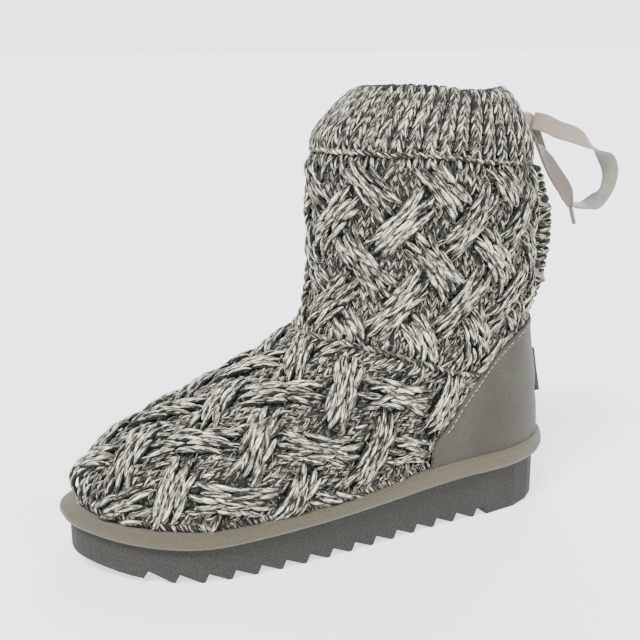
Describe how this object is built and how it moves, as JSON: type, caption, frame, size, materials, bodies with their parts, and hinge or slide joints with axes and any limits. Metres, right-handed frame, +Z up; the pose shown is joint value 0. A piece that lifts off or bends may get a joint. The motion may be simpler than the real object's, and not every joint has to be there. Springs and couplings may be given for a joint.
{
  "type": "snow boot",
  "caption": "Left ankle snow boot with a hollow basket-knit upper, suede heel counter, ribbed cuff, ribbon laced up the back and a saw-tooth foam outsole.",
  "frame": {"origin": "on the floor under the middle of the boot's box, measured without the bow", "axes": "-Y from the heel to the toe, +X toward the outer side of the foot, +Z up"},
  "size_m": [0.1126, 0.3271, 0.223],
  "materials": {
    "grey_foam_rubber": "fine pebbled foam rubber",
    "taupe_twill_tape": "diagonal twill tape",
    "marled_yarn": "two-tone marled knit",
    "grey_suede": "suede",
    "grosgrain_ribbon": "fine ribbed ribbon",
    "grey_plastic": "satin",
    "olive_leather": "smooth",
    "pile_fleece": "short pile"
  },
  "bodies": {
    "root": {"outsole": "grey_foam_rubber", "midsole_band": "taupe_twill_tape", "insole": "pile_fleece", "upper": "marled_yarn", "rib_cuff": "marled_yarn", "heel_counter": "grey_suede", "heel_patch": "olive_leather", "back_edge_left": "marled_yarn", "back_edge_right": "marled_yarn", "ribbon_crossing_upper": "grosgrain_ribbon", "ribbon_crossing_lower": "grosgrain_ribbon", "ribbon_knot": "grosgrain_ribbon", "ribbon_loop_outer": "grosgrain_ribbon", "ribbon_loop_inner": "grosgrain_ribbon", "ribbon_end_outer": "grosgrain_ribbon", "ribbon_end_inner": "grosgrain_ribbon", "aglet_outer": "grey_plastic", "aglet_inner": "grey_plastic"}
  },
  "joints": []
}
